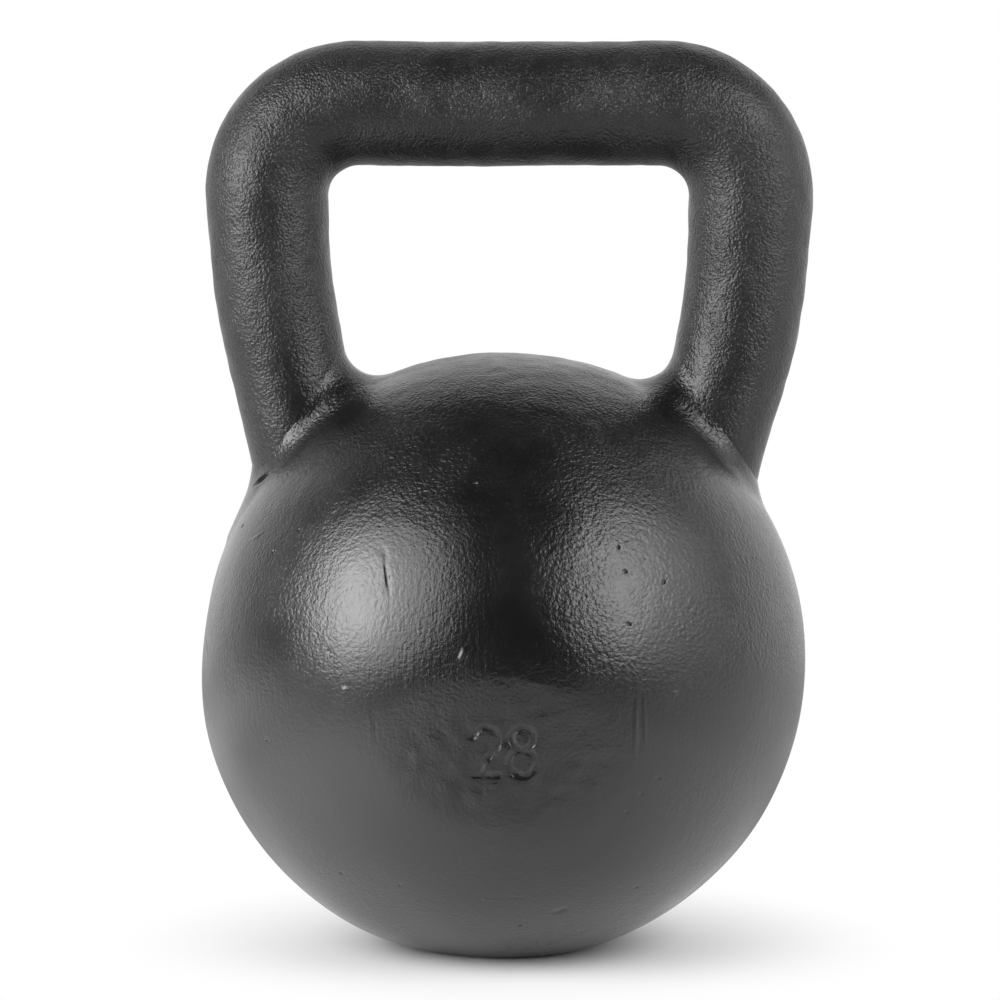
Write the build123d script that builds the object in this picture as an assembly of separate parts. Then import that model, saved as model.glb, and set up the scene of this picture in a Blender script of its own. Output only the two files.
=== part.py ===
from build123d import *

import os
from math import cos, radians, sin, sqrt, tan

# A cast iron kettlebell, in millimetres. +Z is up, the grip runs along X and the mark pad faces -Y.
# The origin is the centre of the foot, on the ground.

# Ball
BALL_RADIUS = 94.2
FOOT_RADIUS = 26.0
FOOT_EDGE_RADIUS = 8.0

# Mark pad: a shallow flat on the front of the ball, looking a little down
PAD_RADIUS = 24.0
PAD_DIP = 12.0
PAD_EDGE_RADIUS = 40.0

# Grip bar, along its centreline from the middle of the grip to the end of a tail
FINGER_ROOM = 60.4
HANDLE_OVERHANG = 0.7
GRIP_RADIUS = 19.4
CORNER_BEND = 28.8
CORNER_LEAN = 3.0
TAPER_LENGTH = 14.0
LEG_BEND = 209.7
LEG_LEAN = 12.5
LEG_RADIUS = 18.1
TAIL_LENGTH = 38.0

# Grooves round each tail, which the iron of the ball fills and locks
GROOVE_COUNT = 2
GROOVE_DEPTH = 2.5
GROOVE_WIDTH = 5.0
GROOVE_PITCH = 12.0
GROOVE_FROM_END = 8.0
TAIL_CHAMFER = 1.5

# Collars: the iron that the ball raises round each leg, ending in a thin rim
COLLAR_RIM = 0.7
COLLAR_FILLET = 11.5
COLLAR_MARGIN = 0.6
COLLAR_HEADROOM = 12.0

# Trim bore: a blind hole up from the foot, with a lead slug under a driven steel disc
SLUG_RADIUS = 10.0
SLUG_LENGTH = 36.0
DISC_RADIUS = 12.5
DISC_THICKNESS = 3.0
DISC_SINK = 1.0
DISH_DEPTH = 1.2
DISH_RIM_RADIUS = 8.5
DISH_FLOOR_RADIUS = 3.0

BALL_CENTRE = Vector(0, 0, sqrt(BALL_RADIUS**2 - FOOT_RADIUS**2))
GRIP_HEIGHT = BALL_CENTRE.Z + BALL_RADIUS + FINGER_ROOM + GRIP_RADIUS
GRIP_LENGTH = 2 * (BALL_RADIUS + HANDLE_OVERHANG - GRIP_RADIUS - CORNER_BEND)


def leaning(lean):
    """The direction down the right leg, and the one square to it and outwards, at a lean in degrees."""
    angle = radians(lean)
    return Vector(-sin(angle), 0, -cos(angle)), Vector(cos(angle), 0, -sin(angle))


CORNER_DOWN, CORNER_OUT = leaning(CORNER_LEAN)
LEG_DOWN, LEG_OUT = leaning(LEG_LEAN)
GRIP_END = Vector(GRIP_LENGTH / 2, 0, GRIP_HEIGHT)
CORNER_END = GRIP_END - Vector(0, 0, CORNER_BEND) + CORNER_OUT * CORNER_BEND
TAPER_END = CORNER_END + CORNER_DOWN * TAPER_LENGTH
KNEE = TAPER_END + (LEG_OUT - CORNER_OUT) * LEG_BEND


def meets_ball(offset=0.0):
    """Where the right leg's line, moved outwards by an offset, goes into the ball."""
    start = KNEE + LEG_OUT * offset - BALL_CENTRE
    nearest = -start.dot(LEG_DOWN)
    half_chord = sqrt(BALL_RADIUS**2 - (start.length**2 - nearest**2))
    return BALL_CENTRE + start + LEG_DOWN * (nearest - half_chord)


TAIL_END = meets_ball() + LEG_DOWN * TAIL_LENGTH


def both_sides(right):
    return right + mirror(right, about=Plane.YZ)


def bend(start, end, heading, radius):
    """A round bar along one arc."""
    line = TangentArc(start, end, tangent=heading)
    return sweep(Plane(origin=start, x_dir=(0, 1, 0), z_dir=heading) * Circle(radius), path=line)


def taper(start, heading, length, start_radius, end_radius):
    """A straight round bar whose radius eases from one size to another."""
    side = Spline((start_radius, 0), (end_radius, length), tangents=((0, 1), (0, 1)))
    ends = Polyline((end_radius, length), (0, length), (0, 0), (start_radius, 0))
    bar = revolve(Plane.XZ * make_face(side + ends), Axis.Z)
    return Plane(origin=start, x_dir=(0, 1, 0), z_dir=heading) * bar


def along_leg(start, length, radius):
    """A cylinder down the right leg's line."""
    return Plane(origin=start, x_dir=(0, 1, 0), z_dir=LEG_DOWN) * Cylinder(
        radius, length, align=(Align.CENTER, Align.CENTER, Align.MIN)
    )


def tail_grooves():
    groove = None
    for n in range(GROOVE_COUNT):
        start = TAIL_END - LEG_DOWN * (GROOVE_FROM_END + GROOVE_WIDTH + n * GROOVE_PITCH)
        ring = along_leg(start, GROOVE_WIDTH, LEG_RADIUS + 1) - along_leg(
            start, GROOVE_WIDTH, LEG_RADIUS - GROOVE_DEPTH
        )
        groove = ring if groove is None else groove + ring
    return groove


def make_handle():
    bar = Plane(origin=(0, 0, GRIP_HEIGHT), z_dir=(1, 0, 0)) * extrude(Circle(GRIP_RADIUS), GRIP_LENGTH / 2)
    bar += bend(GRIP_END, CORNER_END, (1, 0, 0), GRIP_RADIUS)
    bar += taper(CORNER_END, CORNER_DOWN, TAPER_LENGTH, GRIP_RADIUS, LEG_RADIUS)
    bar += bend(TAPER_END, KNEE, CORNER_DOWN, LEG_RADIUS)
    leg = along_leg(KNEE, (TAIL_END - KNEE).length, LEG_RADIUS)
    leg = chamfer(leg.edges().sort_by_distance(TAIL_END)[0], TAIL_CHAMFER)
    return both_sides(bar + leg - tail_grooves())


def collar_reach(offset):
    """How far up the leg the collar's fillet reaches, on the leg's inner or outer side."""
    uphill = (meets_ball(offset) - BALL_CENTRE).normalized()
    lie = radians(uphill.get_angle(LEG_DOWN * -1))
    opening = radians(90) - lie if offset < 0 else radians(90) + lie
    return COLLAR_FILLET / tan(opening / 2) + COLLAR_MARGIN


def make_collar():
    """The right leg's sleeve of ball iron, cut off aslant where its fillet has run out."""
    radius = LEG_RADIUS + COLLAR_RIM
    inner = meets_ball(-radius) - LEG_DOWN * collar_reach(-radius)
    outer = meets_ball(radius) - LEG_DOWN * collar_reach(radius)
    rim = Plane(origin=inner, x_dir=outer - inner, z_dir=(outer - inner).cross(Vector(0, 1, 0)))
    top = KNEE - LEG_DOWN * COLLAR_HEADROOM
    sleeve = along_leg(top, (TAIL_END - top).length, radius)
    return split(sleeve, bisect_by=rim, keep=Keep.BOTTOM)


def ball_blank():
    """The ball with its collars, before the pad, the foot and the bores."""
    ball = Pos(BALL_CENTRE) * Rot(0, 0, 90) * Sphere(BALL_RADIUS)
    ball += both_sides(make_collar())
    return fillet(ball.edges().filter_by(GeomType.BSPLINE), COLLAR_FILLET)


def cut_pad(ball):
    """Flattens the front of the ball, with a soft edge round the flat."""
    dip = radians(PAD_DIP)
    outward = Vector(0, -cos(dip), -sin(dip))
    middle = BALL_CENTRE + outward * sqrt(BALL_RADIUS**2 - PAD_RADIUS**2)
    ball = split(ball, bisect_by=Plane(origin=middle, x_dir=(1, 0, 0), z_dir=outward), keep=Keep.BOTTOM)
    flat = ball.faces().filter_by(GeomType.PLANE).sort_by_distance(middle)[0]
    return fillet(flat.edges(), PAD_EDGE_RADIUS)


def cut_foot(ball):
    ball = split(ball, bisect_by=Plane.XY, keep=Keep.TOP)
    return fillet(ball.faces().sort_by(Axis.Z)[0].edges(), FOOT_EDGE_RADIUS)


def upright(bottom, length, radius):
    """A cylinder on the upright axis, from its bottom end."""
    return Pos(0, 0, bottom) * Cylinder(radius, length, align=(Align.CENTER, Align.CENTER, Align.MIN))


def make_slug():
    """The lead poured up the trim bore to bring the casting to its mass."""
    return upright(DISC_SINK + DISC_THICKNESS, SLUG_LENGTH, SLUG_RADIUS)


def make_disc():
    """The steel disc driven in under the slug: flat at its edge and dished in the middle."""
    dish = Cone(DISH_RIM_RADIUS, DISH_FLOOR_RADIUS, DISH_DEPTH, align=(Align.CENTER, Align.CENTER, Align.MIN))
    return upright(DISC_SINK, DISC_THICKNESS, DISC_RADIUS) - Pos(0, 0, DISC_SINK) * dish


def make_ball(handle):
    """The ball, poured round the handle's tails, with its trim bore."""
    ball = cut_foot(cut_pad(ball_blank())) - handle
    return ball - upright(0, DISC_SINK + DISC_THICKNESS, DISC_RADIUS) - make_slug()


handle = make_handle()
nodes = {
    "ball": make_ball(handle),
    "handle": handle,
    "trim_slug": make_slug(),
    "trim_disc": make_disc(),
}
os.makedirs("parts", exist_ok=True)
for name, shape in nodes.items():
    export_step(shape, f"parts/{name}.step")
    print(name, round(shape.volume), "mm3")
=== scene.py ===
# %% [markdown]
# # A cast iron kettlebell
# This lesson dresses the CAD model of a kettlebell. The model is a grip bar of cast iron with a ball of iron
# poured round its two ends, and a plugged bore under its foot. A kettlebell has no cloth, cord or moving
# piece, so all of its looks are in two things: the small faults that a sand casting has, and the thick
# black enamel brushed over them. The faults are modelled in the mesh, and the enamel in the materials.

from math import cos, pi, radians, sin, sqrt, tan

import bpy
import numpy as np
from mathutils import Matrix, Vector


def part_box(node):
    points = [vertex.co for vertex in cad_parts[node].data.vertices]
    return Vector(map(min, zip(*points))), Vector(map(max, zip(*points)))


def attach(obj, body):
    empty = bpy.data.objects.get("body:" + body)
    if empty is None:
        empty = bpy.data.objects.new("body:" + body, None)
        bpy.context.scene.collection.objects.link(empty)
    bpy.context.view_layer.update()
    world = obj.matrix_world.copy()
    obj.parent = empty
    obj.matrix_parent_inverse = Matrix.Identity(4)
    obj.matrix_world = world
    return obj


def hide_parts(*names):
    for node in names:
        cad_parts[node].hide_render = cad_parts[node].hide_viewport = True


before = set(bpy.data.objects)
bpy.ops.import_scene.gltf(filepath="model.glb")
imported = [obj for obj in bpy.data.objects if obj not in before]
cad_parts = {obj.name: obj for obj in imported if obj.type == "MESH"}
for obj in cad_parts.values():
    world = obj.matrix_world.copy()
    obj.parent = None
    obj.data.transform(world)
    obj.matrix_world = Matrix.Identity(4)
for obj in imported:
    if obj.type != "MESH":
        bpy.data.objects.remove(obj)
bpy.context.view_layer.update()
print("CAD nodes:", sorted(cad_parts))

# %% [markdown]
# ## The sizes that every cell uses
# The ball's and the grip's sizes are read from the CAD nodes, so that this file follows the model. Only
# the bends of the bar aren't in a node's box, and they are repeated here. The bar runs level along X,
# turns down, eases to a thinner leg, bends a little inwards, and goes straight into the ball.

# %% Sizes, in metres
MM = 0.001
BALL_RADIUS = (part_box("ball")[1].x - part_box("ball")[0].x) / 2
FOOT_RADIUS = 26 * MM
BALL_CENTRE = Vector((0, 0, sqrt(BALL_RADIUS**2 - FOOT_RADIUS**2)))
GRIP_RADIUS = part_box("handle")[1].y
GRIP_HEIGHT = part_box("handle")[1].z - GRIP_RADIUS
CORNER_BEND, CORNER_TURN = 28.8 * MM, radians(93)
TAPER_LENGTH = 14 * MM
LEG_BEND, LEG_TURN = 209.7 * MM, radians(9.5)
LEG_RADIUS = 18.1 * MM
GRIP_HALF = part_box("handle")[1].x - GRIP_RADIUS - CORNER_BEND


def heading(turn):
    """The way along the bar after it has turned down by an angle."""
    return Vector((cos(turn), 0, -sin(turn)))


def outwards(turn):
    """The way to the outside of the bend, square to the bar."""
    return Vector((sin(turn), 0, cos(turn)))


CORNER_CENTRE = Vector((GRIP_HALF, 0, GRIP_HEIGHT - CORNER_BEND))
CORNER_END = CORNER_CENTRE + outwards(CORNER_TURN) * CORNER_BEND
TAPER_END = CORNER_END + heading(CORNER_TURN) * TAPER_LENGTH
LEG_CENTRE = TAPER_END - outwards(CORNER_TURN) * LEG_BEND
LEG_AXIS = heading(CORNER_TURN + LEG_TURN)
LEG_OUT = outwards(CORNER_TURN + LEG_TURN)
KNEE = LEG_CENTRE + LEG_OUT * LEG_BEND
print("ball radius", round(BALL_RADIUS / MM, 2), "mm, grip radius", round(GRIP_RADIUS / MM, 2), "mm")

# %% [markdown]
# ## The camera
# The kettlebell stands level with the eye, so the camera is a metre in front of it, a little above its
# middle, with a long lens that keeps the ball round. It comes first, because every later choice is
# judged through it.

# %% Camera
CAMERA_PLACE = Vector((0, -1.05, 0.200))
CAMERA_AIM = Vector((0, 0, 0.140))
LENS = 120.8
SIDE_SHIFT = -0.0048

bpy.ops.object.camera_add(location=CAMERA_PLACE)
camera = bpy.context.object
camera.name = "camera"
camera.rotation_euler = (CAMERA_AIM - CAMERA_PLACE).to_track_quat("-Z", "Y").to_euler()
camera.data.lens = LENS
camera.data.shift_x = SIDE_SHIFT
bpy.context.scene.camera = camera
bpy.context.scene.view_settings.view_transform = "Standard"
print("camera", round((CAMERA_AIM - CAMERA_PLACE).length, 3), "m from its aim")

# %% [markdown]
# ## Colours and nodes
# Colours are written as the hex values that a paint chart would give, and turned to the linear numbers that
# the shader wants. Nodes are added, set and linked in one call. A few settings come up so often that they
# get a short name.

# %% Helpers for colours and nodes
SMOOTH = {"interpolation_type": "SMOOTHSTEP"}
COLOURS = {"data_type": "RGBA"}
MULTIPLY, MULTIPLY_ADD, ADD, MAXIMUM, DISTANCE = (
    {"operation": name} for name in ("MULTIPLY", "MULTIPLY_ADD", "ADD", "MAXIMUM", "DISTANCE")
)


def linear(hex_colour):
    """An sRGB hex colour as linear RGBA."""
    parts = [int(hex_colour[i : i + 2], 16) / 255 for i in (1, 3, 5)]
    return (*(p / 12.92 if p <= 0.04045 else ((p + 0.055) / 1.055) ** 2.4 for p in parts), 1)


def add_node(tree, kind, settings=None, *values, **inputs):
    """Adds a node. An input takes a value, or a socket to link.

    Inputs are given in the node's own order or by name, with an underscore for a space or before a number.
    """
    node = tree.nodes.new(kind)
    for name, value in (settings or {}).items():
        setattr(node, name, value)
    numbered = [(int(name[1:]), value) for name, value in inputs.items() if name[1:].isdigit()]
    named = [(name.replace("_", " "), value) for name, value in inputs.items() if not name[1:].isdigit()]
    for name, value in [*enumerate(values), *numbered, *named]:
        if isinstance(value, bpy.types.NodeSocket):
            tree.links.new(value, node.inputs[name])
        else:
            node.inputs[name].default_value = value
    return node


def new_material(name):
    """An empty material and its node tree."""
    material = bpy.data.materials.new(name)
    material.use_nodes = True
    material.node_tree.nodes.clear()
    return material, material.node_tree


def finish_material(material, shader):
    add_node(material.node_tree, "ShaderNodeOutputMaterial", Surface=shader)
    print("material", material.name, "with", len(material.node_tree.nodes), "nodes")

# %% [markdown]
# ## The studio
# Black gloss shows the room more than itself. This room has a white sheet that curves round behind the
# object, a lit white floor, and a large soft lamp on each side of the front, with the rest dark. So the
# enamel is dark in the middle, pale at its rims, and has two soft patches of light. The world paints the
# sheet by direction, and only camera rays see plain white.

# %% World
SHEET_TILT = radians(-18)
SHEET_FROM, SHEET_TO = -0.3, 0.75  # cosines of the angle off the middle of the sheet
SHEET_WHITE = (1.25, 1.25, 1.25, 1)
ROOM_DARK = linear("#161616")

world = bpy.context.scene.world or bpy.data.worlds.new("studio")
bpy.context.scene.world = world
world.use_nodes = True
world.node_tree.nodes.clear()
tree = world.node_tree
direction = add_node(tree, "ShaderNodeTexCoord").outputs["Generated"]
sheet_middle = (0, cos(SHEET_TILT), sin(SHEET_TILT))
towards_sheet = add_node(
    tree, "ShaderNodeVectorMath", {"operation": "DOT_PRODUCT"}, direction, sheet_middle
).outputs["Value"]
sheet = add_node(
    tree, "ShaderNodeMapRange", SMOOTH, Value=towards_sheet, From_Min=SHEET_FROM, From_Max=SHEET_TO
).outputs["Result"]
room = add_node(tree, "ShaderNodeMix", COLOURS, sheet, _6=ROOM_DARK, _7=SHEET_WHITE).outputs[2]
camera_ray = add_node(tree, "ShaderNodeLightPath").outputs["Is Camera Ray"]
seen = add_node(tree, "ShaderNodeMix", COLOURS, camera_ray, _6=room, _7=(1, 1, 1, 1)).outputs[2]
background = add_node(tree, "ShaderNodeBackground", Color=seen, Strength=1.0)
add_node(tree, "ShaderNodeOutputWorld", Surface=background.outputs["Background"])
print("world with", len(tree.nodes), "nodes")

# %% [markdown]
# ## Soft lamps
# A real soft box is brightest in its middle and fades to its edges. Each side is therefore two area lamps
# in one place: a small bright one within a large dim one. The left one is nearer, so it is the brighter.
# A faint third lamp on the right stands for the light that comes back from a wall.

# %% Lamps
LAMP_AIM = Vector((0, 0, 0.12))
LAMP_DISTANCE = 1.0

# Each lamp: how far round from the front to the right, and how high; its width and height as they show from
# the object; how far it is rolled over, all in degrees; and how bright its face is.
LAMPS = {
    "lamp_left_edge": (-54, 22, 58, 54, 30, 3.9),
    "lamp_left_core": (-60, 19, 25, 34, 28, 5.9),
    "lamp_right_edge": (60, 26, 56, 60, -25, 1.6),
    "lamp_right_core": (46, 28, 27, 45, -25, 3.7),
    "lamp_right_wall": (100, 15, 60, 60, 0, 0.3),
}

for name, (side, height, width, tall, roll, level) in LAMPS.items():
    side, height = radians(side), radians(height)
    away = Vector((sin(side) * cos(height), -cos(side) * cos(height), sin(height)))
    bpy.ops.object.light_add(type="AREA", location=LAMP_AIM + away * LAMP_DISTANCE)
    lamp = bpy.context.object
    lamp.name = name
    lamp.rotation_euler = away.to_track_quat("Z", "Y").to_euler()
    lamp.rotation_euler.rotate_axis("Z", radians(roll))
    lamp.visible_camera = False
    lamp.data.shape = "ELLIPSE"
    lamp.data.size = 2 * LAMP_DISTANCE * tan(radians(width / 2))
    lamp.data.size_y = 2 * LAMP_DISTANCE * tan(radians(tall / 2))
    face_area = pi / 4 * lamp.data.size * lamp.data.size_y
    lamp.data.energy = level * pi * face_area
    print(name, round(lamp.data.energy, 1), "W")

# %% [markdown]
# ## The floor
# The floor is matt white paper. Camera rays see it fade to plain white a little way off, so that only the
# soft shadow round the foot is left. Reflections see it as lit paper almost up to the foot, which gives the
# ball its pale lower half.

# %% Floor
FLOOR_SIZE = 12.0

bpy.ops.object.select_all(action="DESELECT")
bpy.ops.mesh.primitive_plane_add(size=FLOOR_SIZE)
floor = bpy.context.object
floor.name = "floor"
print("floor", FLOOR_SIZE, "m wide")

# %% [markdown]
# ### Light on the paper
# Paper under lamps isn't lit evenly, and gloss shows that. It gets darker towards the front, it has pale
# pools under the lamps, and there are dim patches where the object itself stands in the light. All of this
# is painted for reflections only: camera rays see an even white.

# %% Matt paper
# How far from the foot's middle the lit paper starts and is full, as each kind of ray sees it.
LIT_RINGS = {"Is Camera Ray": (0.035, 0.13), "Is Glossy Ray": (0.025, 0.080)}
# The paper's light grows from far in front of the object to just past its front.
DARK_FRONT, LIT_FRONT = -1.0, -0.19
DARK_LEVEL, LIT_LEVEL = 0.05, 0.93
# Each pool: its middle, its radius at full strength and where it ends, and what it adds to the light.
POOLS = (
    ((-0.165, -0.125, 0), 0.02, 0.21, 0.95),  # under the left lamps
    ((0.175, -0.07, 0), 0.02, 0.21, 0.35),  # under the right lamps
    ((-0.50, 0.12, 0), 0.02, 0.50, 0.70),  # the floor to the left
    ((0.46, 0.05, 0), 0.02, 0.33, 0.30),  # the floor to the right
    ((0, 0.60, 0), 0.35, 0.62, -0.30),  # the dimmer back of the floor
    ((0, 0.18, 0), 0.08, 0.24, -0.35),  # the shade behind the ball
    ((-0.03, -0.19, 0), 0.05, 0.085, -0.25),  # the shade in front of it
    ((0.125, -0.235, 0), 0.03, 0.075, -0.35),  # and between the right lamps
)

matt_paper, tree = new_material("matt_paper")
place = add_node(tree, "ShaderNodeTexCoord").outputs["Object"]
far_off = add_node(tree, "ShaderNodeVectorMath", {"operation": "LENGTH"}, place).outputs["Value"]
path = add_node(tree, "ShaderNodeLightPath").outputs
lit = 0.0
for ray, (near, far) in LIT_RINGS.items():
    fade = add_node(
        tree, "ShaderNodeMapRange", SMOOTH, Value=far_off, From_Min=near, From_Max=far
    ).outputs["Result"]
    seen = add_node(tree, "ShaderNodeMath", MULTIPLY, fade, path[ray]).outputs[0]
    lit = add_node(tree, "ShaderNodeMath", MAXIMUM, seen, lit).outputs[0]

back = add_node(tree, "ShaderNodeSeparateXYZ", Vector=place).outputs["Y"]
level = add_node(
    tree, "ShaderNodeMapRange", Value=back,
    From_Min=DARK_FRONT, From_Max=LIT_FRONT, To_Min=DARK_LEVEL, To_Max=LIT_LEVEL,
).outputs["Result"]
for middle, core, reach, gain in POOLS:
    off_middle = add_node(tree, "ShaderNodeVectorMath", DISTANCE, place, middle).outputs["Value"]
    pool = add_node(
        tree, "ShaderNodeMapRange", SMOOTH,
        Value=off_middle, From_Min=reach, From_Max=core, To_Min=0.0, To_Max=gain,
    ).outputs["Result"]
    level = add_node(tree, "ShaderNodeMath", ADD, level, pool).outputs[0]
level = add_node(
    tree, "ShaderNodeMix", {"data_type": "FLOAT"}, Factor=path["Is Camera Ray"], A=level, B=1.0
).outputs[0]

white = add_node(tree, "ShaderNodeEmission", Color=(1, 1, 1, 1), Strength=level).outputs[0]
paper = add_node(tree, "ShaderNodeBsdfDiffuse", Color=linear("#f4f4f4")).outputs[0]
finish_material(matt_paper, add_node(tree, "ShaderNodeMixShader", None, lit, paper, white).outputs[0])
floor.data.materials.append(matt_paper)

# %% [markdown]
# ## Black enamel over iron
# Both enamels are one paint: a thick black gloss, brushed on and never rubbed down. It shows what lies
# under it. The bar comes from the mould with its sand skin, so its gloss is pebbled, and hands have dulled
# it. The ball is ground, so its gloss is deeper and shows brush marks. The two skins meet at the roots of
# the bar, so the rough one fades in by height in both materials, and the same noises run through both with
# no seam. Where the paint ran thick, on the right, on the left flank and on the pad, it is pebbled too.
#
# The grains have real sizes: a brush-load of paint covers about 24 mm, its pebbles are 1.1 to 1.3 mm, and
# bristles leave marks 1 mm wide and 9 mm long. Moulding sand is finer than 0.5 mm, but it is drawn at 0.8 mm,
# because a finer grain is lost in the render.

# %% Grains, zones and depths of the enamel
PAD_MIDDLE = (0, -0.0921, 0.0709)

# Each noise: its grain's size in mm along X, Y and Z, its detail, roughness and distortion.
GRAINS = {
    "brush_loads": ((24, 24, 24), 3.0, 0.6, 0.0),
    "sand": ((0.8, 0.8, 0.8), 1.0, 0.5, 0.0),
    "pebbles": ((1.3, 1.1, 1.1), 2.0, 0.5, 0.3),
    "bristles": ((1.0, 1.0, 9.0), 2.0, 0.5, 0.3),
}
# Each zone: what it is measured along, where in mm it starts and is full, and its strength when full.
ZONES = {
    "cast": ("Z", 125, 175, 1.0),
    "bar": ("Z", 160, 200, 1.0),
    # painted light: a paler grey that fades in with height over the bar and lifts the grip's tone
    "painted_lift": ("Z", 160, 200, 0.20),
    "pad": ("off_pad", 38, 22, 0.45),
    "right": ("X", -5, 30, 0.6),
    "over_right": ("Z", 78, 100, 1.0),
    "flank": ("X", -35, -55, 0.35),
    "over_flank": ("Z", 70, 100, 1.0),
}
# The brush-loads' noise between these two values goes from thin paint to thick.
THIN, THICK = 0.35, 0.65
# Each factor: what it follows, and its value at 0 and at 1 of that.
FACTORS = {
    "off_bar": ("bar", 1.0, 0.35),
    "depth": ("thick", 0.7, 1.2),
    "gloss": ("thick", 0.92, 1.12),
}
# How deep each noise goes in mm, and what a zone adds to that.
DEPTHS = {
    "sand": (0.04, ("cast", 0.10), ("bar", 0.30)),
    "pebbles": (0.10, ("pebbled", 0.28)),
    "bristles": (0.08, ("cast", -0.06)),
}
ENAMEL_ROUGHNESS = 0.25
DULLED = (("cast", 0.05), ("bar", 0.05))
print(len(GRAINS), "noises and", len(ZONES), "zones make the enamel")

# %% [markdown]
# ### One function for both enamels
# The two enamels have to match where they meet, so one function makes both, and only their blacks and their
# gloss differ. It measures where a point of the skin is, and mixes the noises by the zones to a colour, a
# relief and a roughness. The relief is in metres, so the bump is as deep as the real paint.

# %% Enamel
# Painted light: this paler grey, mixed in with height over the bar, stands in for light that lifts the grip.
PAINTED_LIFT_GREY = linear("#2b2b2c")


def black_enamel(name, dark, pale, ior):
    """Brushed black enamel: smooth below, wrinkled over the roots and pebbled on the bar."""
    material, tree = new_material(name)
    place = add_node(tree, "ShaderNodeTexCoord").outputs["Object"]
    along = dict(add_node(tree, "ShaderNodeSeparateXYZ", Vector=place).outputs.items())
    along["off_pad"] = add_node(tree, "ShaderNodeVectorMath", DISTANCE, place, PAD_MIDDLE).outputs["Value"]
    noise, amount = {}, {}
    for grain, (sizes, detail, roughness, distortion) in GRAINS.items():
        scale = tuple(1 / (size * MM) for size in sizes)
        grid = add_node(tree, "ShaderNodeMapping", Vector=place, Scale=scale).outputs["Vector"]
        noise[grain] = add_node(
            tree, "ShaderNodeTexNoise",
            Vector=grid, Scale=1.0, Detail=detail, Roughness=roughness, Distortion=distortion,
        ).outputs["Fac"]
    for zone, (way, begin, full, strength) in ZONES.items():
        amount[zone] = add_node(
            tree, "ShaderNodeMapRange", SMOOTH,
            Value=along[way], From_Min=begin * MM, From_Max=full * MM, To_Max=strength,
        ).outputs["Result"]
    amount["thick"] = add_node(
        tree, "ShaderNodeMapRange", Value=noise["brush_loads"], From_Min=THIN, From_Max=THICK
    ).outputs["Result"]
    for factor, (follows, low, high) in FACTORS.items():
        amount[factor] = add_node(
            tree, "ShaderNodeMapRange", SMOOTH, Value=amount[follows], To_Min=low, To_Max=high
        ).outputs["Result"]

    # Thick brush-loads are a paler black. Over the bar a paler grey fades in with height: painted light that
    # lifts the grip's tone.
    colour = add_node(
        tree, "ShaderNodeMix", COLOURS, amount["thick"], _6=linear(dark), _7=linear(pale)
    ).outputs[2]
    colour = add_node(
        tree, "ShaderNodeMix", COLOURS, amount["painted_lift"], _6=colour, _7=PAINTED_LIFT_GREY
    ).outputs[2]

    # The paint is pebbled where it ran thick, and less so on the bar, where the sand shows instead.
    for zone in ("right", "flank"):
        amount[zone] = add_node(
            tree, "ShaderNodeMath", MULTIPLY, amount[zone], amount[f"over_{zone}"]
        ).outputs[0]
    pebbled = amount["cast"]
    for zone in ("right", "pad", "flank"):
        pebbled = add_node(tree, "ShaderNodeMath", MAXIMUM, pebbled, amount[zone]).outputs[0]
    amount["pebbled"] = add_node(tree, "ShaderNodeMath", MULTIPLY, pebbled, amount["off_bar"]).outputs[0]

    relief = 0.0
    for grain, (depth, *gains) in DEPTHS.items():
        depth *= MM
        for zone, gain in gains:
            depth = add_node(
                tree, "ShaderNodeMath", MULTIPLY_ADD, amount[zone], gain * MM, depth
            ).outputs[0]
        relief = add_node(tree, "ShaderNodeMath", MULTIPLY_ADD, noise[grain], depth, relief).outputs[0]
    relief = add_node(tree, "ShaderNodeMath", MULTIPLY, relief, amount["depth"]).outputs[0]
    bump = add_node(tree, "ShaderNodeBump", Height=relief, Distance=1.0, Strength=1.0).outputs["Normal"]

    roughness = ENAMEL_ROUGHNESS
    for zone, gain in DULLED:
        roughness = add_node(
            tree, "ShaderNodeMath", MULTIPLY_ADD, amount[zone], gain, roughness
        ).outputs[0]
    roughness = add_node(tree, "ShaderNodeMath", MULTIPLY, roughness, amount["gloss"]).outputs[0]
    shader = add_node(
        tree, "ShaderNodeBsdfPrincipled", Base_Color=colour, Roughness=roughness, IOR=ior, Normal=bump
    ).outputs["BSDF"]
    finish_material(material, shader)
    return material


# Enamel brushed on iron that a wheel has ground: a deep black mirror, softened by brush marks.
ENAMEL_IOR = 1.6
ball_enamel = black_enamel("brushed_enamel_on_ground_iron", "#0e0e0f", "#141415", ENAMEL_IOR)
# The same enamel on iron as it left the sand, worn by hands: duller, with a fine sparkle, and greyer where
# painted light lifts the grip.
HANDLED_IOR = 1.5
bar_enamel = black_enamel("brushed_enamel_on_sand_cast_iron", "#101011", "#181819", HANDLED_IOR)

# %% [markdown]
# ## Tools for shaping a skin
# The faults of a casting are many and soft, so most of the shaping here moves all the points of a mesh at
# once, by a formula. These helpers read the points as rows of numbers and put them back, and ease is the
# soft step with which most of the formulas fade in and out.

# %% Helpers for meshes
def select_only(piece):
    bpy.ops.object.select_all(action="DESELECT")
    piece.select_set(True)
    bpy.context.view_layer.objects.active = piece


def skin_points(piece):
    """The piece's points, one row each."""
    points = np.empty(len(piece.data.vertices) * 3)
    piece.data.vertices.foreach_get("co", points)
    return points.reshape(-1, 3)


def face_middles(piece):
    middles = np.empty(len(piece.data.polygons) * 3)
    piece.data.polygons.foreach_get("center", middles)
    return middles.reshape(-1, 3)


def move_skin(piece, points):
    piece.data.vertices.foreach_set("co", points.ravel())
    piece.data.update()


def ease(low, high, values):
    """0 below low and 1 above high, with a smooth rise between."""
    t = np.clip((values - low) / (high - low), 0, 1)
    return t * t * (3 - 2 * t)


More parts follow.
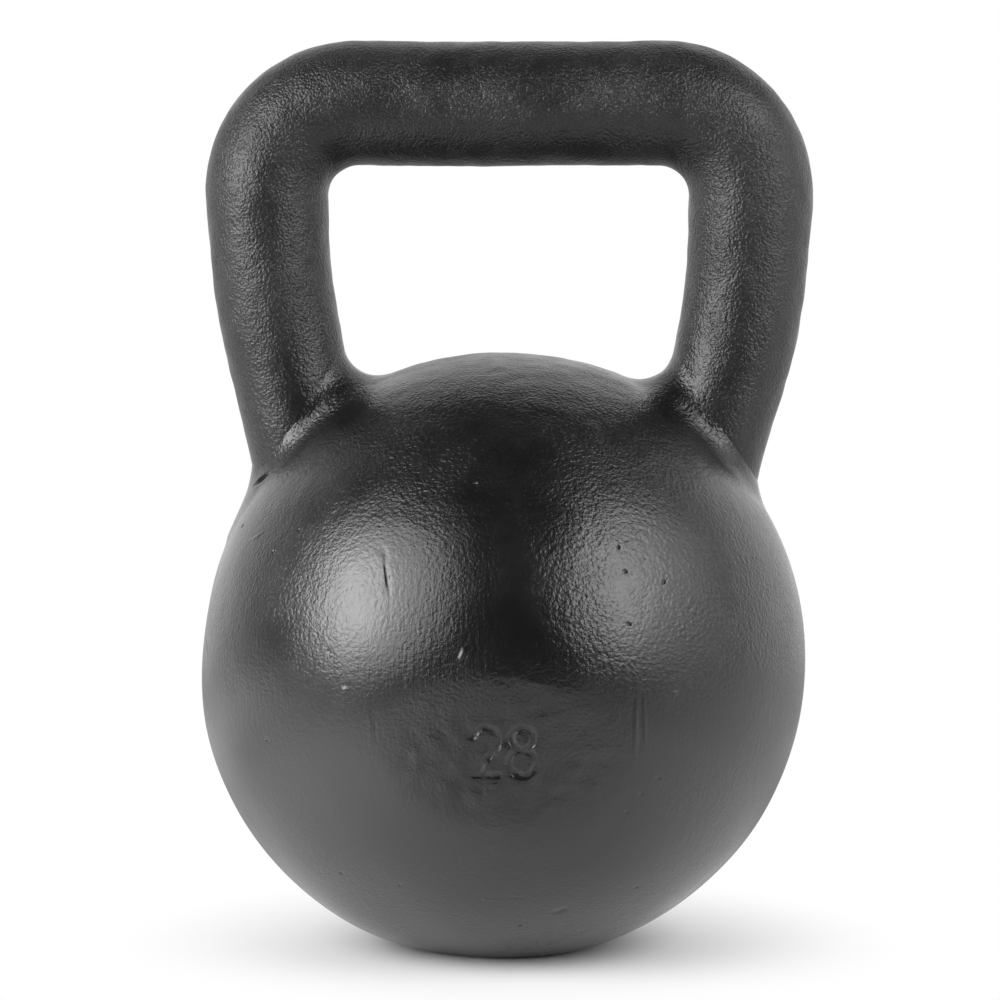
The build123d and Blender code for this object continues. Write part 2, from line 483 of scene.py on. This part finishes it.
def apply_modifier(piece, kind, **settings):
    """Adds a modifier, sets it and applies it."""
    select_only(piece)
    modifier = piece.modifiers.new(kind.lower(), kind)
    for name, value in settings.items():
        setattr(modifier, name, value)
    bpy.ops.object.modifier_apply(modifier=modifier.name)


def from_centre(azimuth, elevation):
    """The way out from the ball's centre, at an angle from the front to the right, and upwards, in degrees."""
    a, e = radians(azimuth), radians(elevation)
    return np.array((cos(e) * sin(a), -cos(e) * cos(a), sin(e)))

# %% [markdown]
# ## The line of the bar
# Several cells need to know how near a point is to the bar: the bar's own taper, and the collars of the
# ball. The line is worked out for the right half, piece by piece, and a point on the left is mirrored first.
# The core of the mould sat a little to the right, so the whole bar does too, but for the right root.

# %% Off the bar
CORE_SHIFT = 1.4 * MM
SHIFT_FROM, SHIFT_TO = 150 * MM, 190 * MM
# The bar's radius at each distance along it from the middle of the grip.
STATIONS = np.array((0, 60, 95, 108, 130, 150, 175, 230)) * MM
STATION_RADII = np.array((19.2, 19.4, 19.3, 18.8, 18.5, 18.1, 17.7, 17.7)) * MM


def core_shift(points):
    """How far to the right the bar stands at each point."""
    return CORE_SHIFT * np.where(points[:, 0] > 0, ease(SHIFT_FROM, SHIFT_TO, points[:, 2]), 1)


def round_bend(centre, radius, turn):
    """The middle of the bar at each turn of a bend."""
    return np.array(centre) + radius * np.stack((np.sin(turn), 0 * turn, np.cos(turn)), 1)


def off_bar(points):
    """The middle of the bar nearest to each point, how far along the bar that is, and the bar's radius."""
    side = np.sign(points[:, 0])[:, None] * np.array((1, 0, 0)) + np.array((0, 1, 1))
    p = points * side
    x, z = p[:, 0], p[:, 2]

    # The grip, and the corner that turns it down. A point inside the bend counts to the leg.
    corner = np.array(CORNER_CENTRE)
    turn = np.clip(np.arctan2(x - corner[0], z - corner[2]), 0, CORNER_TURN)
    turn = np.where((x < corner[0]) & (z < corner[2]), CORNER_TURN, turn)
    grip = np.stack((x, 0 * x, 0 * x + GRIP_HEIGHT), 1)
    middle = np.where(turn[:, None] > 0, round_bend(CORNER_CENTRE, CORNER_BEND, turn), grip)
    travel = np.where(turn > 0, GRIP_HALF + turn * CORNER_BEND, x)

    # The short straight stretch in which the bar gets thinner.
    down = (p - np.array(CORNER_END)) @ np.array(heading(CORNER_TURN))
    below = (turn >= CORNER_TURN) & (down > 0)
    straight = np.array(CORNER_END) + down[:, None] * np.array(heading(CORNER_TURN))
    middle = np.where(below[:, None], straight, middle)
    taper_start = GRIP_HALF + CORNER_TURN * CORNER_BEND
    travel = np.where(below, taper_start + down, travel)

    # The leg's long bend inwards, and the straight tail past the knee.
    lean = np.arctan2(x - LEG_CENTRE.x, z - LEG_CENTRE.z)
    lean = np.clip(lean, CORNER_TURN, CORNER_TURN + LEG_TURN)
    in_leg = below & (down > TAPER_LENGTH)
    middle = np.where(in_leg[:, None], round_bend(LEG_CENTRE, LEG_BEND, lean), middle)
    leg_start = taper_start + TAPER_LENGTH
    travel = np.where(in_leg, leg_start + (lean - CORNER_TURN) * LEG_BEND, travel)
    past = (p - np.array(KNEE)) @ np.array(LEG_AXIS)
    in_tail = in_leg & (past > 0)
    middle = np.where(in_tail[:, None], np.array(KNEE) + past[:, None] * np.array(LEG_AXIS), middle)
    travel = np.where(in_tail, leg_start + LEG_TURN * LEG_BEND + past, travel)
    return middle * side, travel, np.interp(travel, STATIONS, STATION_RADII)

# %% [markdown]
# ## The ball
# On the real thing the ball is one pour of iron that ran up round the ends of the bar and froze in a
# fillet. The CAD ball has that shape, but its skin is long thin triangles that can't be dented. A voxel
# remesh gives it an even skin of small squares. The bores for the bar's ends are closed first, because
# a remesh would fill them with a ragged inner skin that nobody sees.

# %% Copy the ball and close its bores
BORE_CLEARANCE = 0.05 * MM
MERGE_DISTANCE = 0.005 * MM


def off_leg(points, side):
    """How far points lie off a leg's axis. side is 1 on the right and -1 on the left."""
    mirror = np.array((side, 1, 1))
    offset = points - np.array(KNEE) * mirror
    axis = np.array(LEG_AXIS) * mirror
    return np.linalg.norm(offset - (offset @ axis)[:, None] * axis, axis=1)


ball_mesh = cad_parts["ball"].data.copy()
ball_mesh.materials.clear()
ball = bpy.data.objects.new("ball_casting", ball_mesh)
bpy.context.scene.collection.objects.link(ball)
select_only(ball)
bpy.ops.object.mode_set(mode="EDIT")
bpy.ops.mesh.select_all(action="SELECT")
bpy.ops.mesh.remove_doubles(threshold=MERGE_DISTANCE)
bpy.ops.mesh.select_all(action="DESELECT")
bpy.ops.object.mode_set(mode="OBJECT")

points = skin_points(ball)
tails_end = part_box("handle")[0].z - BORE_CLEARANCE
in_bore = np.zeros(len(points), bool)
for side in (-1, 1):
    near = off_leg(points, side) < LEG_RADIUS + BORE_CLEARANCE
    in_bore |= near & (side * points[:, 0] > 0) & (points[:, 2] > tails_end)
for face in ball.data.polygons:
    face.select = all(in_bore[v] for v in face.vertices)
bpy.ops.object.mode_set(mode="EDIT")
bpy.ops.mesh.select_mode(type="FACE")
bpy.ops.mesh.delete(type="FACE")
bpy.ops.mesh.select_mode(type="EDGE")
bpy.ops.mesh.select_non_manifold()
bpy.ops.mesh.fill_holes(sides=0)
bpy.ops.object.mode_set(mode="OBJECT")
print("closed", int(in_bore.sum()), "bore points; the collars rise to", round(points[:, 2].max() / MM, 1), "mm")

# %% [markdown]
# The iron ran further up between the legs than the CAD collars do. A plain sleeve is added round each leg
# first, so that there is skin there to shape.

# %% Raise the collars
SLEEVE_TOP, SLEEVE_LENGTH, SLEEVE_GAP = 8 * MM, 38 * MM, 0.7 * MM
SLEEVE_SIDES = 96
LEG_LEAN = CORNER_TURN + LEG_TURN - pi / 2

sleeve_middle = KNEE + LEG_AXIS * (SLEEVE_LENGTH / 2 - SLEEVE_TOP)
for side in (-1, 1):
    bpy.ops.object.select_all(action="DESELECT")
    bpy.ops.mesh.primitive_cylinder_add(
        vertices=SLEEVE_SIDES, radius=LEG_RADIUS + SLEEVE_GAP, depth=SLEEVE_LENGTH,
        location=sleeve_middle * Vector((side, 1, 1)), rotation=(0, side * LEG_LEAN, 0),
    )
    ball.select_set(True)
    bpy.context.view_layer.objects.active = ball
    bpy.ops.object.join()
print("ball and sleeves", len(ball.data.polygons), "faces")

# %% [markdown]
# The remesh and the smoothing after it shrink the ball by a hair. So each point that is still near the
# sphere is put back on it. The voxels are large enough to keep the ball under 200,000 triangles.

# %% Give it an even skin
VOXEL = 1.55 * MM
ON_SPHERE, OFF_SPHERE = 0.2 * MM, 0.5 * MM

apply_modifier(ball, "REMESH", mode="VOXEL", voxel_size=VOXEL, adaptivity=0)
apply_modifier(ball, "SMOOTH", factor=0.5, iterations=4)
points = skin_points(ball)
radial = points - np.array(BALL_CENTRE)
distance = np.linalg.norm(radial, axis=1)
on_sphere = 1 - ease(ON_SPHERE, OFF_SPHERE, abs(distance - BALL_RADIUS))
true_points = np.array(BALL_CENTRE) + radial * (BALL_RADIUS / distance)[:, None]
points += on_sphere[:, None] * (true_points - points)
move_skin(ball, points)
print("ball", len(ball.data.polygons), "faces,", round(on_sphere.mean() * 100), "% of them on the sphere")

# %% [markdown]
# ## Where the ball meets the bar
# On the real thing the iron of the ball runs up the leg and thins out to nothing. The CAD collar ends in a
# square rim 0.7 mm proud, which would show as a cut edge. Here the skin round each root is moved on to a
# rounded union of two shapes, the ball and the leg, and past the rim it dips under the bar's own skin. The
# fillet is large on the inner side and small in front. The iron also rose a little higher between the legs,
# and spilled over in a lip outside the left root.

# %% Blend the roots
TOP_RISE = 1.6 * MM
RISE_EDGE, RISE_FULL = cos(radians(50)), cos(radians(24))
UNDER_SKIN, RIM_SINK, RIM_FADE = 0.05 * MM, 0.7 * MM, (0.3 * MM, 3.0 * MM)
RIM_INNER, RIM_OUTER = np.array((53.7, 0, 191.0)) * MM, np.array((80.5, 0, 146.5)) * MM
LIP_TOP, LIP_HEIGHT = 153.7 * MM, 25 * MM
LIP_SLOPE, LIP_CURVE = 0.3, 6.0
FRONT_FILLET, INNER_FILLET = 6 * MM, 14 * MM
OUTER_FILLET = {-1: 3 * MM, 1: 5 * MM}
# How squarely a point has to face away from the bar's middle, or to it, for each of these to start and be full.
LIP_SIDE, INNER_SIDE, OUTER_SIDE = (0.1, 0.8), (0.15, 1), (0.1, 0.9)
ROOTS_FROM, INSIDE_LEG, PAST_MIDDLE = 112 * MM, -2.5 * MM, -0.1 * MM
BLEND_STEPS = 6
TINY = 1e-9


def below_rim(points, side):
    """How far points are below the slanting line where the iron of the ball runs out on the leg."""
    along = (RIM_OUTER - RIM_INNER) / np.linalg.norm(RIM_OUTER - RIM_INNER)
    return (points * (side, 1, 1) - RIM_INNER) @ np.array((along[2], 0, -along[0]))


def root_surface(points, side):
    """How far points are off the rounded union of the ball and one leg, the way off it, and off the bar."""
    radial = points - np.array(BALL_CENTRE)
    distance = np.linalg.norm(radial, axis=1)
    radial /= distance[:, None]
    off_ball = distance - BALL_RADIUS - TOP_RISE * ease(RISE_EDGE, RISE_FULL, radial[:, 2])

    shift = np.outer(core_shift(points), (1, 0, 0))
    middle, _, radius = off_bar(points - shift)
    across = points - shift - middle
    distance = np.linalg.norm(across, axis=1)
    across /= distance[:, None]
    outer = across @ (np.array(LEG_OUT) * (side, 1, 1))
    fall = np.clip(LIP_TOP - points[:, 2], 0, LIP_HEIGHT)
    lip = (LIP_SLOPE * fall + LIP_CURVE * fall**2) * ease(*LIP_SIDE, outer) * (side < 0)
    under = UNDER_SKIN + RIM_SINK * (1 - ease(*RIM_FADE, below_rim(points - shift, side)))
    off_leg_skin = distance - radius + under - lip

    fillet = FRONT_FILLET + (INNER_FILLET - FRONT_FILLET) * ease(*INNER_SIDE, -outer)
    fillet += (OUTER_FILLET[side] - FRONT_FILLET) * ease(*OUTER_SIDE, outer)
    to_ball, to_leg = np.maximum(fillet - off_ball, 0), np.maximum(fillet - off_leg_skin, 0)
    reach = np.hypot(to_ball, to_leg)
    off = np.maximum(fillet, np.minimum(off_ball, off_leg_skin)) - reach
    way = (to_ball[:, None] * radial + to_leg[:, None] * across) / np.maximum(reach, TINY)[:, None]
    far = reach < TINY
    way[far] = np.where((off_ball < off_leg_skin)[far, None], radial[far], across[far])
    return off, way, distance - radius


points = skin_points(ball)
for side in (-1, 1):
    near = (side * points[:, 0] > PAST_MIDDLE) & (points[:, 2] > ROOTS_FROM)
    near[near] &= root_surface(points[near], side)[2] > INSIDE_LEG
    for _ in range(BLEND_STEPS):
        off, way, _ = root_surface(points[near], side)
        points[near] -= way * (off / (way**2).sum(1))[:, None]
    print("root blended:", int(near.sum()), "points, last move", round(abs(off).max() / MM, 3), "mm")
move_skin(ball, points)

# %% [markdown]
# ## The pad
# The pad was ground by hand with the edge of a wheel. So it is wider than it is high, still a little round
# across its width, and a few degrees off level. It has no edge: it runs out into the round of the ball. A
# soft minimum of the ball and of the ground face gives that.

# %% Ground pad
PAD_DIP, PAD_TILT = radians(12), radians(-7)
PAD_DEPTH, PAD_ROUND, PAD_SOFTNESS = 2.4 * MM, 133 * MM, 0.35 * MM
PAD_EDGE, PAD_GONE = 50 * MM, 58 * MM
# Rows that turn a point into its place across the pad, up it, and out of it.
TO_PAD = np.array(((1, 0, 0), (0, -sin(PAD_DIP), cos(PAD_DIP)), (0, -cos(PAD_DIP), -sin(PAD_DIP))))

flat = (skin_points(ball) - np.array(BALL_CENTRE)) @ TO_PAD.T
reach = np.linalg.norm(flat[:, :2], axis=1)
sphere = np.sqrt(np.maximum(BALL_RADIUS**2 - reach**2, 0))
across = flat[:, 0] * cos(PAD_TILT) + flat[:, 1] * sin(PAD_TILT)
ground = BALL_RADIUS - PAD_DEPTH - across**2 / (2 * PAD_ROUND)
lower = -PAD_SOFTNESS * np.logaddexp(-sphere / PAD_SOFTNESS, -ground / PAD_SOFTNESS)
share = np.where(flat[:, 2] > 0, 1 - ease(PAD_EDGE, PAD_GONE, reach), 0)
flat[:, 2] += share * (lower - flat[:, 2])
move_skin(ball, flat @ TO_PAD + np.array(BALL_CENTRE))
print("pad ground on", int((share > 0).sum()), "points")

# %% [markdown]
# ## The faults of a sand casting
# The ball left the mould a little out of round, then a grinder and a brush went over it by hand. Broad
# waves and small lumps of sand come from displace modifiers, which push the skin in and out by a soft noise,
# the same on the ball and the bar. The pad has its own lumps, where the wheel bounced. One side of the mould
# also gave a little under the weight of the iron, so the ball bulges low on its left.

# %% Waves and lumps
ROUGH_FROM, ROUGH_TO = 120 * MM, 175 * MM
PAD_LUMPS_FULL, PAD_LUMPS_END, PAD_STRETCH = 20 * MM, 38 * MM, (1, 1, 1.5)
BULGE, BULGE_WAY, BULGE_EDGE = 2.0 * MM, from_centre(-95, -38), cos(radians(50))


def wave_the_skin(piece, name, size, height, weights=None):
    """Pushes the skin in and out by a soft noise of a size and height in mm, by each point's weight."""
    texture = bpy.data.textures.new(name, "CLOUDS")
    texture.noise_scale = size * MM
    texture.noise_depth = 0
    if weights is not None:
        group = piece.vertex_groups.new(name=name)
        for number, weight in enumerate(weights):
            group.add((number,), weight, "REPLACE")
    apply_modifier(
        piece, "DISPLACE", texture=texture, strength=height * MM, mid_level=0.5,
        vertex_group=name if weights is not None else "",
    )
    piece.vertex_groups.clear()


def cast_skin(piece):
    """Broad waves all over, and sand lumps that fade in with height."""
    wave_the_skin(piece, "hand_ground_waves", 34, 0.6)
    wave_the_skin(piece, "sand_lumps", 5.5, 0.3, ease(ROUGH_FROM, ROUGH_TO, skin_points(piece)[:, 2]))


cast_skin(ball)
off_pad = np.linalg.norm((skin_points(ball) - PAD_MIDDLE) * PAD_STRETCH, axis=1)
wave_the_skin(ball, "pad_lumps", 4.5, 0.8, 1 - ease(PAD_LUMPS_FULL, PAD_LUMPS_END, off_pad))
points = skin_points(ball)
radial = points - np.array(BALL_CENTRE)
radial /= np.linalg.norm(radial, axis=1)[:, None]
points += radial * (BULGE * ease(BULGE_EDGE, 1, radial @ BULGE_WAY))[:, None]
points[:, 2] = np.maximum(points[:, 2], 0)
move_skin(ball, points)
print("lowest point", round(points[:, 2].min() / MM, 2), "mm")

# %% [markdown]
# ## Marks on the ball
# The front has dents, pinholes, a run of paint and a short crack at the left root. Each is an ellipse that
# is pressed into the skin, or raised from it. The skin's squares are too large for them, so the faces
# under a mark are divided first.

# %% Helpers for marks
CUTS = 3
NEAR_SIDE, MARK_MARGIN = -4 * MM, 1 * MM


def refine(piece, chosen):
    """Divides the chosen faces into smaller ones."""
    bpy.context.tool_settings.mesh_select_mode = (False, False, True)
    select_only(piece)
    bpy.ops.object.mode_set(mode="EDIT")
    bpy.ops.mesh.select_all(action="DESELECT")
    bpy.ops.object.mode_set(mode="OBJECT")
    piece.data.polygons.foreach_set("select", chosen)
    bpy.ops.object.mode_set(mode="EDIT")
    bpy.ops.mesh.subdivide(number_cuts=CUTS, smoothness=1.0)
    bpy.ops.object.mode_set(mode="OBJECT")


def in_mark(points, mark, margin=0.0):
    """1 in the middle of a mark and 0 at its edge. A mark is flat on, as seen from its own side."""
    side, x, z, tilt, length, width = mark[:6]
    side, tilt = radians(side), radians(tilt)
    right = points[:, 0] * cos(side) + points[:, 1] * sin(side) - x * MM
    depth = points[:, 1] * cos(side) - points[:, 0] * sin(side)
    up = points[:, 2] - z * MM
    along = (right * cos(tilt) + up * sin(tilt)) / (length / 2 * MM + margin)
    across = (up * cos(tilt) - right * sin(tilt)) / (width / 2 * MM + margin)
    return np.where(depth < NEAR_SIDE, np.clip(1 - along**2 - across**2, 0, 1), 0)


def on_ball(azimuth, elevation):
    """A place on the ball as it shows from the front: the side it is seen from, and its x and z in mm."""
    return (0, *(BALL_RADIUS * from_centre(azimuth, elevation) + np.array(BALL_CENTRE))[[0, 2]] / MM)

# %% [markdown]
# ### Where the marks are
# The front's marks are listed by where they show from the front. A casting has them all round, so the
# back gets a scatter of the same kinds by chance, the same in each run.

# %% Marks
# Each mark: the side it is seen from in degrees, its place there, its tilt from level in degrees, and its
# length, width and depth. Places and sizes are in mm, and a raised mark has a depth below zero.
MARKS = [
    (*on_ball(-22.5, 19.6), 98, 13.0, 1.9, 0.30),  # long dent
    (*on_ball(-23.8, 24.0), 110, 6.0, 2.6, 0.14),
    (*on_ball(23.9, -7.1), 89, 24.0, 1.9, -0.26),  # runs of paint
    (*on_ball(25.6, -6.0), 92, 20.0, 1.5, -0.16),
    (*on_ball(-24.7, -7.5), 92, 14.0, 1.3, -0.10),
    (*on_ball(-23.6, -7.0), 90, 11.0, 1.1, 0.10),
    (*on_ball(3.0, 2.1), -12, 43.0, 3.2, -0.05),  # seam above the pad
    (*on_ball(-17.2, -11.4), -68, 36.0, 7.0, 0.07),  # where the wheel left the pad
    (*on_ball(14.8, -47.1), 20, 7.0, 2.4, 0.40),  # a dent near the foot
    (*on_ball(-7.5, 6.3), 70, 5.0, 1.6, -0.35),  # specks of iron
    (*on_ball(-29.7, -0.6), 20, 3.0, 1.8, -0.30),
    (*on_ball(31.9, -1.3), 30, 2.4, 1.6, -0.25),
    (0, -75.3, 147.1, 41, 8.5, 1.4, 2.2),  # crack
]
PINHOLES = [
    (29.7, -16.8), (26.6, -19.7), (24.3, -23.2), (33.8, -41.7), (4.5, -52.0), (-25.6, -40.4), (-50.1, -11.2),
    (-41.6, -38.8), (22.7, 25.3), (23.3, 20.8), (31.2, 18.5), (22.8, 11.3), (-33.0, 6.0), (-6.7, 38.3),
    (-46.7, 27.7), (-52.6, 23.3),
]
PINHOLE_SIZE = (1.9, 1.2, 0.45)
BACK_MARKS, LONG_SHARE = 26, 0.4
BACK_WIDTH, HOLE_DEPTH, SCAR_DEPTH = 1.7, 0.35, 0.2
MARK_SHARPNESS = 1.5

chance = np.random.default_rng(28)
MARKS += [(*on_ball(*place), chance.uniform(0, 180), *PINHOLE_SIZE) for place in PINHOLES]
for _ in range(BACK_MARKS):
    side, x, z = chance.uniform(75, 285), chance.uniform(-30, 30), chance.uniform(45, 135)
    long_one = chance.random() < LONG_SHARE
    length = chance.uniform(5, 13) if long_one else chance.uniform(1.7, 2.6)
    depth = chance.choice((-SCAR_DEPTH, SCAR_DEPTH)) if long_one else HOLE_DEPTH
    MARKS.append((side, x, z, chance.uniform(0, 180), length, BACK_WIDTH, depth))

middles = face_middles(ball)
marked = np.zeros(len(middles), bool)
for mark in MARKS:
    marked |= in_mark(middles, mark, MARK_MARGIN) > 0
refine(ball, marked)
points = skin_points(ball)
for mark in MARKS:
    depth = mark[6] * MM * in_mark(points, mark) ** MARK_SHARPNESS
    points -= np.outer(depth, from_centre(mark[0], 0))
move_skin(ball, points)
print(len(MARKS), "marks on", int(marked.sum()), "divided faces")

# %% [markdown]
# ## The numerals
# The pad carries the mass in kilograms, struck into it with punches once it was ground. The thick paint
# fills the strokes in part, so they are shallow, uneven and soft at their edges. Text would be crisp and all
# of one depth. So the two numerals are drawn as the path of a round tool: every point of the skin that is
# within half a stroke of the path sinks, less so where the paint filled it.

# %% Numerals
NUMERAL_PLACE = (-0.4, 1.2)  # mm across and up the pad
STROKE, STROKE_EDGE, STROKE_DEPTH = 1.8 * MM, 1.1 * MM, 0.55 * MM
FILLED, FILL_ACROSS, FILL_UP = 0.28, 1300, 900  # how much of it, and its ripple in radians in each metre
ARC_POINTS = 25
FRONT_ONLY = 80 * MM
FAR_OFF = 1.0


def arc(x, y, radius, start, end, across=1.0):
    """Points round part of a ring, in mm, from one angle to another in degrees."""
    turns = np.radians(np.linspace(start, end, ARC_POINTS))
    return [(x + across * radius * cos(turn), y + radius * sin(turn)) for turn in turns]


TWO = arc(-5.1, 3.5, 3.7, 165, -38) + [(-8.7, -7.2), (-1.5, -7.2)]
EIGHT = [arc(5.4, 3.9, 3.3, 0, 360, 0.95), arc(5.4, -3.5, 4.0, 0, 360, 0.95)]


def off_stroke(flat, path):
    """How far points of the pad are from a path."""
    nearest = np.full(len(flat), FAR_OFF)
    for start, end in zip(path, path[1:]):
        start, end = ((np.array(corner) + NUMERAL_PLACE) * MM for corner in (start, end))
        step = end - start
        part = np.clip((flat - start) @ step / (step @ step), 0, 1)
        nearest = np.minimum(nearest, np.linalg.norm(flat - start - part[:, None] * step, axis=1))
    return nearest


def off_numerals(points):
    flat = (points - np.array(BALL_CENTRE)) @ TO_PAD.T
    off = np.min([off_stroke(flat[:, :2], path) for path in (TWO, *EIGHT)], axis=0)
    return np.where(flat[:, 2] > FRONT_ONLY, off, FAR_OFF)


under_strokes = off_numerals(face_middles(ball)) < STROKE
refine(ball, under_strokes)
points = skin_points(ball)
sunk = 1 - ease((STROKE - STROKE_EDGE) / 2, (STROKE + STROKE_EDGE) / 2, off_numerals(points))
paint = np.sin(points[:, 0] * FILL_ACROSS) * np.sin(points[:, 2] * FILL_UP + 1)
points -= np.outer(STROKE_DEPTH * (1 - FILLED + FILLED * paint) * sunk, TO_PAD[2])
move_skin(ball, points)
print("numerals on", int(under_strokes.sum()), "divided faces; ball", len(ball.data.polygons), "faces")

# %% [markdown]
# The ball stands for its CAD node, moves with the one body there is, and takes the ball's enamel.

# %% Finish the ball
for face in ball.data.polygons:
    face.use_smooth = True
ball.data.materials.append(ball_enamel)
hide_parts("ball")
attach(ball, "root")
print("ball", sum(len(face.vertices) - 2 for face in ball.data.polygons), "triangles")

# %% [markdown]
# ## The grip bar
# The real bar is an iron casting of its own, made first in sand and then set in the mould of the ball. It's
# round all along, so one ring of points can draw it: extruded for the straight parts and spun for the bends.
# Half of it is drawn at the thickness of the grip.

# %% Bar
RING_POINTS = 152
STEP = 0.8 * MM
TAIL_LENGTH = 38 * MM


def extrude_along(way, length):
    """Extrudes the selected ring straight, in steps of about STEP."""
    steps = round(length / STEP)
    for _ in range(steps):
        bpy.ops.mesh.extrude_region_move(TRANSFORM_OT_translate={"value": way * (length / steps)})


def extrude_round(centre, turn, radius):
    """Spins the selected ring down about a bend's centre, in steps of about STEP at a radius."""
    steps = round(turn * radius / STEP)
    bpy.ops.mesh.spin(steps=steps, angle=turn, center=centre, axis=(0, -1, 0))


bpy.ops.object.select_all(action="DESELECT")
bpy.ops.mesh.primitive_circle_add(
    vertices=RING_POINTS, radius=GRIP_RADIUS, location=(0, 0, GRIP_HEIGHT), rotation=(0, pi / 2, 0)
)
bar = bpy.context.object
bar.name = "handle_bar"
bpy.ops.object.transform_apply(location=True, rotation=True, scale=True)
bpy.context.tool_settings.mesh_select_mode = (True, False, False)
bpy.ops.object.mode_set(mode="EDIT")
bpy.ops.mesh.select_all(action="SELECT")
extrude_along(heading(0), GRIP_HALF)
extrude_round(CORNER_CENTRE, CORNER_TURN, CORNER_BEND + 0.5 * GRIP_RADIUS)
extrude_along(heading(CORNER_TURN), TAPER_LENGTH)
extrude_round(LEG_CENTRE, LEG_TURN, LEG_BEND)
extrude_along(LEG_AXIS, TAIL_LENGTH)
bpy.ops.mesh.edge_face_add()
bpy.ops.object.mode_set(mode="OBJECT")
print("half bar:", len(bar.data.polygons), "faces")

# %% [markdown]
# The half is mirrored, and its faces are turned outwards again, because extruding and mirroring can leave
# them inside out. The taper comes after, when each point is drawn in towards the line of the bar. The grip
# sags a little, most in its middle, because the mould closed low there. Last come the same waves and sand
# lumps as on the ball, so that the two skins still fit where they meet.

# %% Mirror and taper
MIRROR_MERGE = 0.01 * MM
GRIP_SAG = 0.8 * MM
SAG_FROM, SAG_FULL = 205 * MM, 250 * MM
SAG_MIDDLE, SAG_ENDS = 1.2, 0.6
SAG_NARROW, SAG_WIDE = 30 * MM, 80 * MM

apply_modifier(bar, "MIRROR", use_axis=(True, False, False), use_clip=True, merge_threshold=MIRROR_MERGE)
bpy.ops.object.mode_set(mode="EDIT")
bpy.ops.mesh.select_all(action="SELECT")
bpy.ops.mesh.normals_make_consistent(inside=False)
bpy.ops.object.mode_set(mode="OBJECT")

points = skin_points(bar)
middle, travel, radius = off_bar(points)
points = middle + (points - middle) * (radius / GRIP_RADIUS)[:, None]
points[:, 0] += core_shift(points)
sag = SAG_MIDDLE + (SAG_ENDS - SAG_MIDDLE) * ease(SAG_NARROW, SAG_WIDE, abs(points[:, 0]))
points[:, 2] -= GRIP_SAG * sag * ease(SAG_FROM, SAG_FULL, points[:, 2])
move_skin(bar, points)
cast_skin(bar)
print("bar", len(bar.data.polygons), "faces, travel to", round(travel.max() / MM, 1), "mm")

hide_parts("handle")
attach(bar, "root")
bar.data.materials.append(bar_enamel)
for face in bar.data.polygons:
    face.use_smooth = True

# %% [markdown]
# ## The plug under the foot
# The bore was filled with poured lead to bring the casting to its mass, and a turned steel disc was driven
# in under it. Neither is painted. Lead dulls to a soft blue grey within days, and its skin is drawn into
# shallow dimples 2.5 mm across as it sets. The disc is bright from the lathe, with rings 0.5 mm apart round
# its centre. Both are CAD pieces, so they only get a finish.

# %% Lead and steel
DIMPLE_SIZE, RING_PITCH = 2.5 * MM, 0.5236 * MM
WAVE_TURNS = 20  # a wave texture at scale 1 turns this many radians in each metre
RINGS = {"wave_type": "RINGS", "rings_direction": "Z"}

# Each metal: its name, colour, roughness and relief in mm, and the kind, settings and inputs of its pattern.
BARE_METALS = {
    "trim_slug": (
        "cast_lead", "#6f7377", 0.55, 0.25,
        "ShaderNodeTexNoise", None, {"Scale": 1 / DIMPLE_SIZE, "Detail": 3.0},
    ),
    "trim_disc": (
        "turned_mild_steel", "#8f9194", 0.38, 0.02,
        "ShaderNodeTexWave", RINGS, {"Scale": 2 * pi / (WAVE_TURNS * RING_PITCH), "Distortion": 0.4},
    ),
}

for node, (name, colour, roughness, depth, kind, settings, inputs) in BARE_METALS.items():
    material, tree = new_material(name)
    place = add_node(tree, "ShaderNodeTexCoord").outputs["Object"]
    pattern = add_node(tree, kind, settings, Vector=place, **inputs).outputs["Fac"]
    relief = add_node(tree, "ShaderNodeMath", MULTIPLY, pattern, depth * MM).outputs[0]
    bump = add_node(tree, "ShaderNodeBump", Height=relief, Distance=1.0, Strength=1.0).outputs["Normal"]
    shader = add_node(
        tree, "ShaderNodeBsdfPrincipled",
        Base_Color=linear(colour), Metallic=1.0, Roughness=roughness, Normal=bump,
    ).outputs["BSDF"]
    finish_material(material, shader)
    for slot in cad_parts[node].material_slots:
        slot.material = material
    print(node, "in", material.name)
